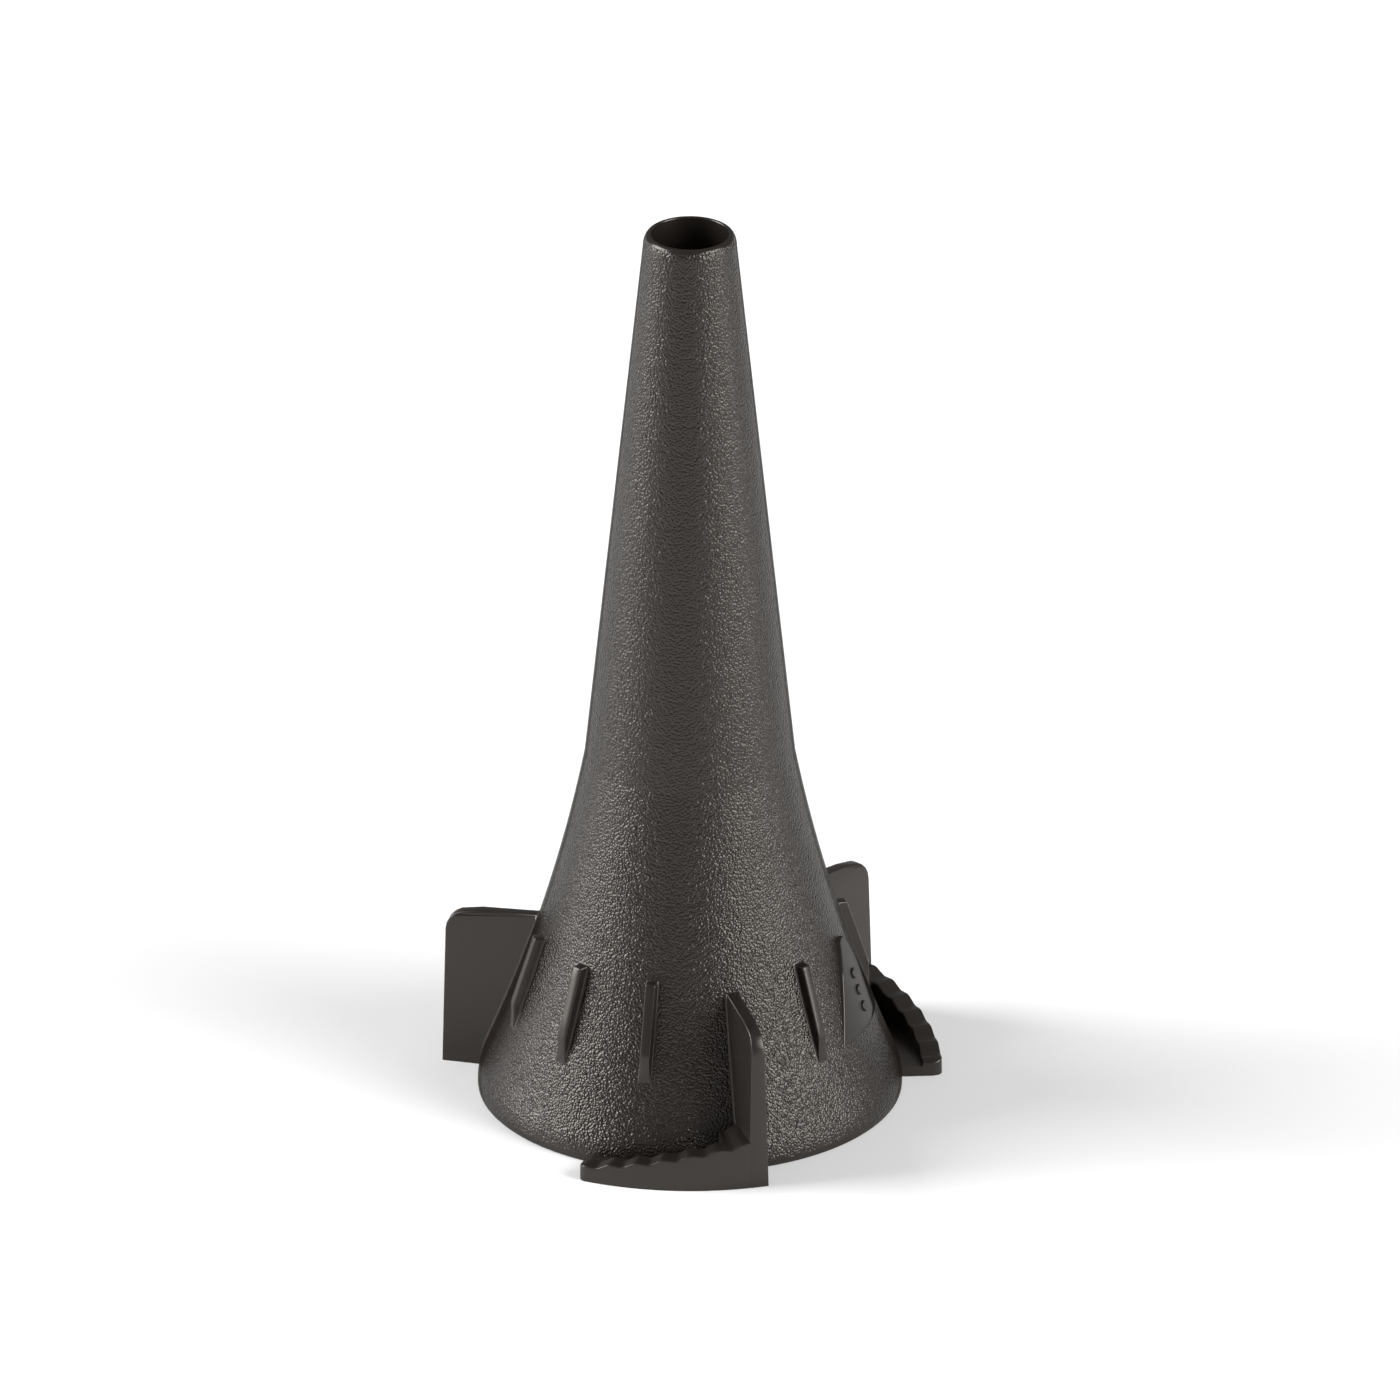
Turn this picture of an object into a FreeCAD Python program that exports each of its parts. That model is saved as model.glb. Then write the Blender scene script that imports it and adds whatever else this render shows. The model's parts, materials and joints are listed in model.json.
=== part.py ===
import FreeCAD, Part

import math
import os

# Disposable ear speculum, the push-and-twist tip of an otoscope, in millimetres.
# Origin: centre of the wide open end, on the plane that it rests on. +Z runs along the axis to the small end.
# The real thing is one plastic moulding. Its features are kept as separate solids that meet face to face.
# A place round the axis is an angle in degrees from +X, positive towards +Y.

# --- Axial stations -------------------------------------------------------------------------------------
HEIGHT = 33.2  # resting plane to the top of the lip
SOCKET_DEPTH = 1.0  # straight wall inside the wide end
FLARE_SPLIT_Z = 6.5  # just above the grip ribs
CONE_FOOT_Z = 13.0  # where the straight cone runs out into the flare
LIP_LAND = 1.0  # straight bore at the small end

# --- Outer wall -----------------------------------------------------------------------------------------
CONE_FOOT_R = 3.74
CONE_HALF_ANGLE = 6.0
FLARE_RADIUS = 59.0  # hollow curve of the flare, in the plane of the axis
FLARE_TOP_ANGLE = 10.8  # slope of the flare where the cone meets it
FOOT_R = 7.55
FOOT_BLEND_R = 2.0
FOOT_CHAMFER = 0.06

# --- Lip ------------------------------------------------------------------------------------------------
LIP_ROUND_START = 0.5  # below the top
LIP_SHOULDER_R = 1.59
LIP_SHOULDER_DROP = 0.12  # below the top
LIP_CREST_R = 1.43

# --- Bore -----------------------------------------------------------------------------------------------
TIP_BORE_R = 1.375
SOCKET_R = 6.70

# --- Locking fins ---------------------------------------------------------------------------------------
FIN_ANGLES = (-74.2, 45.8, 165.8)
FIN_REACH = 9.02
FIN_DRAFT = 1.0
FIN_TOP_Z = 5.98
FIN_TOP_FALL = 2.0
FIN_FOOT_THICKNESS = 0.76
FIN_TOP_THICKNESS = 0.44
FIN_CORNER_R = 0.75

# --- Cam ramps ------------------------------------------------------------------------------------------
RAMP_SWEEP = 42.3  # clockwise from its fin, seen from the small end
RAMP_START_Z = 1.84
RAMP_FALL_PER_DEGREE = 0.030
RAMP_WALL = 0.77
RAMP_FLOOR = 0.38
RAMP_SOLID_SWEEP = 8.0  # full-width stretch beside the fin, before the pocket starts
RAMP_END_R = 0.35
TOOTH_PITCH = 6.25
FIRST_CREST = -2.85  # behind the fin's face, so that the first valley lies beside the fin
TOOTH_FALL_SWEEP = 2.9
TOOTH_DEPTH = 0.235

# --- Grip ribs ------------------------------------------------------------------------------------------
RIB_ANGLES = (-44.2, -104.2, -134.2, -164.2, 135.8, 105.8, 75.8, 15.8)
RIB_THICKNESS = 0.38
RIB_TOP_Z = 6.43
RIB_TOP_R = 5.78
RIB_KNEE_R = 6.58
RIB_KNEE_Z = 3.95

# --- Size pad and its marks -----------------------------------------------------------------------------
PAD_ANGLE = -14.2
PAD_APEX_Z = 6.35
PAD_SHOULDER_Z = 6.13
PAD_SHOULDER_HALF = 0.37
PAD_FOOT_Z = 3.05
PAD_FOOT_HALF = 2.22
PAD_TOP_PROUD = 0.15
PAD_FOOT_PROUD = 0.03
PAD_SEAT = 0.25  # depth of the shallow seat that it fills in the wall
PIP_COUNT = 3
PIP_R = 0.20
PIP_PROUD = 0.07
PIP_SPACING = 0.62
PIP_LOWEST_Z = 3.75

# --- Reach of the cutting solids, past anything that they cut -------------------------------------------
WIDE = 12.0
TALL = 3.0


def vec(x, y, z):
    """A point or direction."""
    return FreeCAD.Vector(x, y, z)


def outline_face(edges):
    """The flat face inside a closed run of edges."""
    return Part.Face(Part.Wire(Part.__sortEdges__(edges)))


def polygon_face(points):
    """The flat face inside a closed polygon."""
    return Part.Face(Part.makePolygon(list(points) + [points[0]]))


def turned(shape, degrees):
    """A copy of a shape, turned about the axis."""
    copy = shape.copy()
    copy.rotate(vec(0, 0, 0), vec(0, 0, 1), degrees)
    return copy


def cone_r(z):
    """Outer radius of the straight cone at a height."""
    return CONE_FOOT_R - (z - CONE_FOOT_Z) * math.tan(math.radians(CONE_HALF_ANGLE))


# Centre of the flare's curve, outside the part, in radius and height.
FLARE_CENTRE_R = CONE_FOOT_R + FLARE_RADIUS * math.cos(math.radians(FLARE_TOP_ANGLE))
FLARE_CENTRE_Z = CONE_FOOT_Z + FLARE_RADIUS * math.sin(math.radians(FLARE_TOP_ANGLE))
# Centre of the rounded foot, which touches both the flare's curve and the upright land below it.
FOOT_CENTRE_R = FOOT_R - FOOT_BLEND_R
FOOT_CENTRE_Z = FLARE_CENTRE_Z - math.sqrt(
    (FLARE_RADIUS + FOOT_BLEND_R) ** 2 - (FLARE_CENTRE_R - FOOT_CENTRE_R) ** 2
)
# The bore's curve shares the flare's centre, and starts at the top of the socket.
WALL = math.hypot(FLARE_CENTRE_R - SOCKET_R, FLARE_CENTRE_Z - SOCKET_DEPTH) - FLARE_RADIUS


def curve_r(z, offset=0.0):
    """Radius of the flare's curve at a height, moved in by offset."""
    reach = FLARE_RADIUS + offset
    return FLARE_CENTRE_R - math.sqrt(reach ** 2 - (FLARE_CENTRE_Z - z) ** 2)


def curve_arc(low_z, high_z, offset=0.0):
    """An edge along the flare's curve between two heights."""
    middle_z = (low_z + high_z) / 2
    points = [vec(curve_r(z, offset), 0, z) for z in (low_z, middle_z, high_z)]
    return Part.Arc(*points).toShape()


def arc_from(start, end, lean):
    """An arc that leaves start leaning in from the upright by lean degrees, and the lean at its end."""
    run = end - start
    chord_lean = math.degrees(math.atan2(-run.x, run.z))
    turn = 2 * (chord_lean - lean)
    outward = vec(run.z, 0, -run.x).normalize()
    middle = (start + end) * 0.5 + outward * (run.Length / 2 * math.tan(math.radians(turn / 4)))
    return Part.Arc(start, middle, end).toShape(), lean + turn


def foot_blend():
    """The rounded foot: its edge, and the point where the flare's curve takes over."""
    share = FOOT_BLEND_R / (FLARE_RADIUS + FOOT_BLEND_R)
    join = vec(
        FOOT_CENTRE_R + share * (FLARE_CENTRE_R - FOOT_CENTRE_R),
        0,
        FOOT_CENTRE_Z + share * (FLARE_CENTRE_Z - FOOT_CENTRE_Z),
    )
    half_turn = math.atan2(join.z - FOOT_CENTRE_Z, join.x - FOOT_CENTRE_R) / 2
    middle = vec(
        FOOT_CENTRE_R + FOOT_BLEND_R * math.cos(half_turn),
        0,
        FOOT_CENTRE_Z + FOOT_BLEND_R * math.sin(half_turn),
    )
    start = vec(FOOT_R, 0, FOOT_CENTRE_Z)
    return Part.Arc(start, middle, join).toShape(), join


def outer_edges():
    """The outside of the wall in the XZ plane, from the resting plane to the crest of the lip."""
    blend, join = foot_blend()
    round_z = HEIGHT - LIP_ROUND_START
    round_start = vec(cone_r(round_z), 0, round_z)
    shoulder = vec(LIP_SHOULDER_R, 0, HEIGHT - LIP_SHOULDER_DROP)
    crest = vec(LIP_CREST_R, 0, HEIGHT)
    shoulder_arc, shoulder_lean = arc_from(round_start, shoulder, CONE_HALF_ANGLE)
    crest_arc, _ = arc_from(shoulder, crest, shoulder_lean)
    return [
        Part.makeLine(vec(FOOT_R - FOOT_CHAMFER, 0, 0), vec(FOOT_R, 0, FOOT_CHAMFER)),
        Part.makeLine(vec(FOOT_R, 0, FOOT_CHAMFER), vec(FOOT_R, 0, FOOT_CENTRE_Z)),
        blend,
        curve_arc(join.z, CONE_FOOT_Z),
        Part.makeLine(vec(CONE_FOOT_R, 0, CONE_FOOT_Z), round_start),
        shoulder_arc,
        crest_arc,
    ]


def inner_edges():
    """The bore in the XZ plane, from the crest of the lip down to the resting plane."""
    land_z = HEIGHT - LIP_LAND
    neck_r = curve_r(CONE_FOOT_Z, WALL)
    round_r = LIP_CREST_R - TIP_BORE_R
    land_top = vec(TIP_BORE_R, 0, HEIGHT - round_r)
    half = math.sqrt(0.5)
    round_middle = vec(LIP_CREST_R - round_r * half, 0, HEIGHT - round_r + round_r * half)
    return [
        Part.Arc(vec(LIP_CREST_R, 0, HEIGHT), round_middle, land_top).toShape(),
        Part.makeLine(land_top, vec(TIP_BORE_R, 0, land_z)),
        Part.makeLine(vec(TIP_BORE_R, 0, land_z), vec(neck_r, 0, CONE_FOOT_Z)),
        curve_arc(SOCKET_DEPTH, CONE_FOOT_Z, WALL),
        Part.makeLine(vec(SOCKET_R, 0, SOCKET_DEPTH), vec(SOCKET_R, 0, 0)),
    ]


def spun(edges, sweep=360.0):
    """A closed run of edges in the XZ plane, turned about the axis into a solid."""
    return outline_face(edges).revolve(vec(0, 0, 0), vec(0, 0, 1), sweep)


def wall_solid():
    """The whole hollow wall, from the wide end to the lip."""
    floor = Part.makeLine(vec(SOCKET_R, 0, 0), vec(FOOT_R - FOOT_CHAMFER, 0, 0))
    return spun(outer_edges() + inner_edges() + [floor])


def core_solid():
    """All that lies inside the outer wall, with no bore. It trims what stands on the wall."""
    floor = Part.makeLine(vec(0, 0, 0), vec(FOOT_R - FOOT_CHAMFER, 0, 0))
    axis = Part.makeLine(vec(0, 0, 0), vec(0, 0, HEIGHT))
    top = Part.makeLine(vec(LIP_CREST_R, 0, HEIGHT), vec(0, 0, HEIGHT))
    return spun(outer_edges() + [floor, axis, top])


def slice_between(solid, low_z, high_z):
    """The part of a solid between two heights."""
    slab = Part.makeCylinder(WIDE, high_z - low_z, vec(0, 0, low_z))
    return solid.common(slab)


def fin_blank():
    """A locking fin on the +X side: a drafted plate with one rounded corner, not yet trimmed to the wall."""
    outer_top_z = FIN_TOP_Z - (FIN_REACH - curve_r(FIN_TOP_Z)) * math.tan(math.radians(FIN_TOP_FALL))
    outer_top_r = FIN_REACH - outer_top_z * math.tan(math.radians(FIN_DRAFT))
    inside_r = curve_r(FIN_TOP_Z) - 1.0
    half_foot = FIN_FOOT_THICKNESS / 2
    half_top = FIN_TOP_THICKNESS / 2
    outline = polygon_face(
        [
            vec(inside_r, -half_foot, 0),
            vec(FIN_REACH, -half_foot, 0),
            vec(outer_top_r, -half_foot, outer_top_z),
            vec(inside_r, -half_foot, FIN_TOP_Z + math.tan(math.radians(FIN_TOP_FALL))),
        ]
    )
    plate = outline.extrude(vec(0, FIN_FOOT_THICKNESS, 0))
    corner = [
        edge
        for edge in plate.Edges
        if edge.CenterOfMass.distanceToPoint(vec(outer_top_r, 0, outer_top_z)) < 1e-6
    ]
    plate = plate.makeFillet(FIN_CORNER_R, corner)
    wedge = polygon_face(
        [
            vec(0, -half_foot, 0),
            vec(0, half_foot, 0),
            vec(0, half_top, FIN_TOP_Z),
            vec(0, half_top, FIN_TOP_Z + TALL),
            vec(0, -half_top, FIN_TOP_Z + TALL),
            vec(0, -half_top, FIN_TOP_Z),
        ]
    ).extrude(vec(WIDE, 0, 0))
    return plate.common(wedge)


def tooth_gap(index):
    """What is cut away between one tooth crest and the next, for a ramp whose fin is at +X."""
    crest = FIRST_CREST + index * TOOTH_PITCH
    crest_z = RAMP_START_Z - crest * RAMP_FALL_PER_DEGREE
    next_z = crest_z - TOOTH_PITCH * RAMP_FALL_PER_DEGREE
    middle = crest + TOOTH_PITCH / 2

    def across(offset):
        return -FIN_REACH * math.sin(math.radians(offset - middle))

    outline = polygon_face(
        [
            vec(SOCKET_R, across(crest), crest_z),
            vec(SOCKET_R, across(crest + TOOTH_FALL_SWEEP), crest_z - TOOTH_DEPTH),
            vec(SOCKET_R, across(crest + TOOTH_PITCH), next_z),
            vec(SOCKET_R, across(crest + TOOTH_PITCH), TALL),
            vec(SOCKET_R, across(crest), TALL),
        ]
    )
    return turned(outline.extrude(vec(WIDE - SOCKET_R, 0, 0)), -middle)


def ramp_pocket():
    """The channel behind the toothed wall, open at the low end, for a ramp whose fin is at +X."""
    outer_r = FIN_REACH - RAMP_WALL
    section = polygon_face(
        [
            vec(SOCKET_R, 0, RAMP_FLOOR),
            vec(outer_r, 0, RAMP_FLOOR),
            vec(outer_r, 0, TALL),
            vec(SOCKET_R, 0, TALL),
        ]
    )
    sweep = RAMP_SWEEP - RAMP_SOLID_SWEEP + 1.0
    pocket = section.revolve(vec(0, 0, 0), vec(0, 0, 1), -sweep)
    return turned(pocket, -RAMP_SOLID_SWEEP)


def ramp_blank():
    """The cam ramp of a fin at +X, trimmed on top but not yet to the wall or the fin."""
    high_z = RAMP_START_Z + 0.2
    high_r = FIN_REACH - high_z * math.tan(math.radians(FIN_DRAFT))
    section = polygon_face(
        [vec(SOCKET_R, 0, 0), vec(FIN_REACH, 0, 0), vec(high_r, 0, high_z), vec(SOCKET_R, 0, high_z)]
    )
    block = section.revolve(vec(0, 0, 0), vec(0, 0, 1), -RAMP_SWEEP)
    low_end = math.radians(-RAMP_SWEEP)
    middle_r = (FIN_REACH + high_r) / 2
    corner_at = vec(middle_r * math.cos(low_end), middle_r * math.sin(low_end), high_z / 2)
    corner = [edge for edge in block.Edges if edge.CenterOfMass.distanceToPoint(corner_at) < 1e-3]
    block = block.makeFillet(RAMP_END_R, corner)
    gaps = math.ceil((RAMP_SWEEP - FIRST_CREST) / TOOTH_PITCH)
    for index in range(gaps):
        block = block.cut(tooth_gap(index))
    return block.cut(ramp_pocket())


def rib_blank():
    """A grip rib on the +X side, not yet trimmed to the wall."""
    half = RIB_THICKNESS / 2
    inside_r = curve_r(RIB_TOP_Z) - 0.5
    outline = polygon_face(
        [
            vec(inside_r, -half, RIB_TOP_Z),
            vec(RIB_TOP_R, -half, RIB_TOP_Z),
            vec(RIB_KNEE_R, -half, RIB_KNEE_Z),
            vec(RIB_KNEE_R, -half, SOCKET_DEPTH),
            vec(inside_r, -half, SOCKET_DEPTH),
        ]
    )
    return outline.extrude(vec(0, RIB_THICKNESS, 0))


def pad_r(z):
    """Radius of the size pad's smooth face, a plain cone, at a height."""
    foot_r = curve_r(PAD_FOOT_Z) + PAD_FOOT_PROUD
    apex_r = curve_r(PAD_APEX_Z) + PAD_TOP_PROUD
    return foot_r + (z - PAD_FOOT_Z) * (apex_r - foot_r) / (PAD_APEX_Z - PAD_FOOT_Z)


def pad_blank():
    """The arched size pad on the +X side: its smooth face, and its back in a shallow seat in the wall."""
    left_foot = vec(0, -PAD_FOOT_HALF, PAD_FOOT_Z)
    left_shoulder = vec(0, -PAD_SHOULDER_HALF, PAD_SHOULDER_Z)
    apex = vec(0, 0, PAD_APEX_Z)
    right_shoulder = vec(0, PAD_SHOULDER_HALF, PAD_SHOULDER_Z)
    right_foot = vec(0, PAD_FOOT_HALF, PAD_FOOT_Z)
    arch = outline_face(
        [
            Part.makeLine(left_foot, left_shoulder),
            Part.Arc(left_shoulder, apex, right_shoulder).toShape(),
            Part.makeLine(right_shoulder, right_foot),
            Part.makeLine(right_foot, left_foot),
        ]
    ).extrude(vec(WIDE, 0, 0))
    low_z = PAD_FOOT_Z - 0.5
    high_z = PAD_APEX_Z + 0.5
    face_cone = Part.makeCone(pad_r(low_z), pad_r(high_z), high_z - low_z, vec(0, 0, low_z))
    seat_floor = spun(
        [
            curve_arc(low_z, high_z, PAD_SEAT),
            Part.makeLine(vec(curve_r(high_z, PAD_SEAT), 0, high_z), vec(0, 0, high_z)),
            Part.makeLine(vec(0, 0, high_z), vec(0, 0, low_z)),
            Part.makeLine(vec(0, 0, low_z), vec(curve_r(low_z, PAD_SEAT), 0, low_z)),
        ]
    )
    return arch.common(face_cone).cut(seat_floor)


def pip_blanks():
    """The raised marks on the size pad, on the +X side, each a stub that starts inside the wall."""
    slope = (pad_r(PAD_FOOT_Z) - pad_r(PAD_APEX_Z)) / (PAD_APEX_Z - PAD_FOOT_Z)
    outward = vec(1, 0, slope).normalize()
    stubs = []
    for index in range(PIP_COUNT):
        z = PIP_LOWEST_Z + index * PIP_SPACING
        surface = vec(pad_r(z), 0, z)
        start = surface - outward * 0.3
        stubs.append(Part.makeCylinder(PIP_R, 0.3 + PIP_PROUD, start, outward))
    return stubs


def whole(shape):
    """The solid of a boolean result, or a compound where it has several."""
    solids = shape.Solids
    return solids[0] if len(solids) == 1 else Part.makeCompound(solids)


def build():
    """Every node of the speculum, by name."""
    wall = wall_solid()
    core = core_solid()
    stations = (
        ("socket_collar", 0.0, SOCKET_DEPTH),
        ("lower_flare", SOCKET_DEPTH, FLARE_SPLIT_Z),
        ("upper_flare", FLARE_SPLIT_Z, CONE_FOOT_Z),
        ("ear_cone", CONE_FOOT_Z, HEIGHT - LIP_LAND),
        ("tip_rim", HEIGHT - LIP_LAND, HEIGHT),
    )
    nodes = {name: slice_between(wall, low_z, high_z) for name, low_z, high_z in stations}

    fin = fin_blank().cut(core)
    ramp = ramp_blank().cut(core).cut(fin)
    for number, angle in enumerate(FIN_ANGLES, start=1):
        nodes[f"locking_fin_{number}"] = turned(fin, angle)
        nodes[f"cam_ramp_{number}"] = turned(ramp, angle)

    rib = rib_blank().cut(core)
    for number, angle in enumerate(RIB_ANGLES, start=1):
        nodes[f"grip_rib_{number}"] = turned(rib, angle)

    pad = pad_blank()
    pips = Part.makeCompound([stub.cut(core).cut(pad) for stub in pip_blanks()])
    nodes["size_pad"] = turned(pad, PAD_ANGLE)
    nodes["size_pips"] = turned(pips, PAD_ANGLE)
    nodes["lower_flare"] = nodes["lower_flare"].cut(nodes["size_pad"])
    return nodes


def main():
    """Writes one STEP file for each node."""
    os.makedirs("parts", exist_ok=True)
    for name, shape in build().items():
        solid = whole(shape)
        solid.exportStep(f"parts/{name}.step")
        box = solid.BoundBox
        print(
            f"{name}: {len(solid.Solids)} solid, valid {solid.isValid()}, {solid.Volume:.3f} mm3, "
            f"z {box.ZMin:.2f} to {box.ZMax:.2f}"
        )


main()
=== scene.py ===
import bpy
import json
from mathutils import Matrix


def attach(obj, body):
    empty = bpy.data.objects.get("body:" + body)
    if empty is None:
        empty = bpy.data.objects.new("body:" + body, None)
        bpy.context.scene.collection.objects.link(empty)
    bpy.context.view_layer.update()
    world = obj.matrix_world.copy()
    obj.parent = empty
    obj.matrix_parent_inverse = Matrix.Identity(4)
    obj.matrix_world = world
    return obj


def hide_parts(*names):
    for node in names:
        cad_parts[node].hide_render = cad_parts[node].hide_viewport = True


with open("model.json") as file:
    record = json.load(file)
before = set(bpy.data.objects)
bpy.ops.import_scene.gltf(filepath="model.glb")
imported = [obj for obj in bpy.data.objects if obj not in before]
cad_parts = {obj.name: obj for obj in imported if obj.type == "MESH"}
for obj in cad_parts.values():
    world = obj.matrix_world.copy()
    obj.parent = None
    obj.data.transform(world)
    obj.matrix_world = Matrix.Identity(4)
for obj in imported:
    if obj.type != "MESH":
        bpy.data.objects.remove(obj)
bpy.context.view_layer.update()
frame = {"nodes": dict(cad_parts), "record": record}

import json
import logging
import math
from contextlib import contextmanager
from dataclasses import dataclass, field
from enum import Enum
from typing import Callable, Iterator, Sequence

import bmesh
import bpy
from mathutils import Vector

# A disposable ear speculum in black polypropylene, standing on its wide end.
# Pieces are modelled in millimetres and brought to metres when they are finished, because edit-mode
# operators round off at fixed small lengths. Angles round the axis are in degrees from +X towards
# +Y, but a place along a ramp is in degrees from its fin, and grows the other way.

log = logging.getLogger("speculum")

MM = 0.001
BODY = "root"
FACETS_ROUND = 144  # one every 2.5 degrees, so that a twelfth of a turn is a whole number of them
WELD = 0.0005  # points nearer than this are one point
NEAR = 0.01  # slack in picking points by their place
CRISP = 35.0  # edges that turn more than this stay crisp under smooth shading


# --- Reading the frame ---


@dataclass(frozen=True)
class Reach:
    """How far a CAD node reaches from the axis and along it, and the angle of its middle."""

    inner: float
    outer: float
    low: float
    high: float
    angle: float


def reach_of(node: str) -> Reach:
    """Measures a CAD node.

    Args:
        node: The node's name.

    Returns:
        Its reach in millimetres and degrees.
    """
    points = [vertex.co / MM for vertex in frame["nodes"][node].data.vertices]
    radii = [math.hypot(point.x, point.y) for point in points]
    heights = [point.z for point in points]
    middle = sum(points, Vector()) / len(points)
    towards = math.atan2(middle.y, middle.x)
    turns = [
        math.remainder(math.atan2(point.y, point.x) - towards, math.tau) for point in points
    ]
    angle = math.degrees(towards + (min(turns) + max(turns)) / 2)
    return Reach(min(radii), max(radii), min(heights), max(heights), angle)


def bore_radius(mount: str) -> float:
    """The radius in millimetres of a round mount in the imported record."""
    return next(m["dims"]["r_mm"] for m in frame["record"]["mounts"] if m["name"] == mount)


# --- Edit-mode helpers ---


@contextmanager
def editing(piece: bpy.types.Object) -> Iterator[None]:
    """Opens a piece in edit mode with nothing else selected.

    Args:
        piece: The piece to open.
    """
    bpy.ops.object.select_all(action="DESELECT")
    piece.select_set(True)
    bpy.context.view_layer.objects.active = piece
    bpy.ops.object.mode_set(mode="EDIT")
    yield
    bpy.ops.object.mode_set(mode="OBJECT")


def settle(piece: bpy.types.Object, name: str) -> bpy.types.Object:
    """Names a fresh primitive and moves its place into its mesh.

    Args:
        piece: The primitive, as it was added.
        name: Its new name.

    Returns:
        The same piece, with its object at the origin, unturned and unscaled.
    """
    piece.name = name
    piece.data.name = name
    bpy.ops.object.transform_apply(location=True, rotation=True, scale=True)
    return piece


def pick_points(piece: bpy.types.Object, test: Callable[[Vector], bool]) -> None:
    """Selects the points that pass a test, with the edges and faces between them.

    Args:
        piece: The piece that is open in edit mode.
        test: Says of a point's place whether it is wanted.
    """
    bpy.context.tool_settings.mesh_select_mode = (True, False, False)
    mesh = bmesh.from_edit_mesh(piece.data)
    for point in mesh.verts:
        point.select = test(point.co)
    mesh.select_flush_mode()
    bmesh.update_edit_mesh(piece.data)


def pick_edges(piece: bpy.types.Object, test: Callable[[bmesh.types.BMEdge], bool]) -> None:
    """Selects the edges that pass a test.

    Args:
        piece: The piece that is open in edit mode.
        test: Says of an edge whether it is wanted.
    """
    bpy.ops.mesh.select_all(action="DESELECT")
    bpy.context.tool_settings.mesh_select_mode = (False, True, False)
    mesh = bmesh.from_edit_mesh(piece.data)
    mesh.normal_update()
    for edge in mesh.edges:
        edge.select_set(test(edge))
    bmesh.update_edit_mesh(piece.data)


def pick_faces(piece: bpy.types.Object, test: Callable[[bmesh.types.BMFace], bool]) -> None:
    """Selects the faces that pass a test.

    Args:
        piece: The piece that is open in edit mode.
        test: Says of a face whether it is wanted.
    """
    bpy.ops.mesh.select_all(action="DESELECT")
    bpy.context.tool_settings.mesh_select_mode = (False, False, True)
    mesh = bmesh.from_edit_mesh(piece.data)
    mesh.normal_update()
    for face in mesh.faces:
        face.select_set(test(face))
    bmesh.update_edit_mesh(piece.data)


def trim(piece: bpy.types.Object, point: Vector, outward: Vector) -> None:
    """Cuts away what lies past a plane, and closes the cut.

    Args:
        piece: The piece that is open in edit mode.
        point: A point on the plane.
        outward: The plane's normal, towards what is cut away.
    """
    bpy.ops.mesh.select_all(action="SELECT")
    bpy.ops.mesh.bisect(
        plane_co=point, plane_no=outward, use_fill=True, clear_outer=True, threshold=WELD / 10
    )


def faces_out(face: bmesh.types.BMFace) -> bool:
    """Whether a face looks away from the axis."""
    return Vector(face.calc_center_median().xy).dot(face.normal.xy) > 0


def turns_sharply(edge: bmesh.types.BMEdge, degrees: float) -> bool:
    """Whether the two faces on an edge turn from each other by more than some degrees."""
    return len(edge.link_faces) == 2 and math.degrees(edge.calc_face_angle()) > degrees


def close_up(piece: bpy.types.Object) -> None:
    """Merges doubled points and turns every face outwards.

    Args:
        piece: The piece that is open in edit mode.
    """
    bpy.ops.mesh.select_all(action="SELECT")
    bpy.ops.mesh.remove_doubles(threshold=WELD)
    bpy.ops.mesh.normals_make_consistent(inside=False)


def finish_piece(piece: bpy.types.Object, degrees: float = 0.0) -> bpy.types.Object:
    """Turns a finished piece to its place round the axis, brings it to metres and shades it.

    Args:
        piece: The piece, modelled in millimetres on the +X side.
        degrees: How far to turn it about the axis.

    Returns:
        The same piece, with its place in its mesh.
    """
    bpy.ops.object.select_all(action="DESELECT")
    piece.select_set(True)
    bpy.context.view_layer.objects.active = piece
    piece.rotation_euler = (0, 0, math.radians(degrees))
    piece.scale = (MM, MM, MM)
    bpy.ops.object.transform_apply(location=True, rotation=True, scale=True)
    bpy.ops.object.shade_smooth_by_angle(angle=math.radians(CRISP))
    return piece


def stand_in(piece: bpy.types.Object, node: str, slot: str) -> None:
    """Makes a finished piece take a CAD node's place on the part's one body.

    Args:
        piece: The piece, in metres.
        node: The CAD node that it stands for.
        slot: The record's material slot; not used.
    """
    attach(piece, BODY)
    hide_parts(node)


def copy_of(piece: bpy.types.Object, name: str) -> bpy.types.Object:
    """A copy of a piece with its own mesh.

    Args:
        piece: The piece to copy.
        name: The copy's name.

    Returns:
        The copy, linked to the scene.
    """
    twin = piece.copy()
    twin.data = piece.data.copy()
    twin.name = name
    twin.data.name = name
    bpy.context.scene.collection.objects.link(twin)
    return twin


def set_round(
    pattern: bpy.types.Object,
    node: str,
    count: int,
    material: bpy.types.Material,
    beside: str = "",
) -> list[bpy.types.Object]:
    """Sets satin copies of one pattern round the axis, and removes the pattern.

    Args:
        pattern: The piece, modelled in millimetres on the +X side. Its copies are named after it.
        node: What the names of the CAD nodes that the copies stand for start with.
        count: How many copies there are.
        material: What they are made of.
        beside: Where it is given, what the names of the nodes that the copies turn with start with.

    Returns:
        The copies.
    """
    pieces = []
    for number in range(1, count + 1):
        piece = copy_of(pattern, f"{pattern.name}_{number}")
        finish_piece(piece, reach_of(f"{beside or node}_{number}").angle)
        piece.data.materials.append(material)
        stand_in(piece, f"{node}_{number}", "satin_detail")
        pieces.append(piece)
    bpy.data.objects.remove(pattern)
    return pieces


# --- Finishes ---


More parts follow.
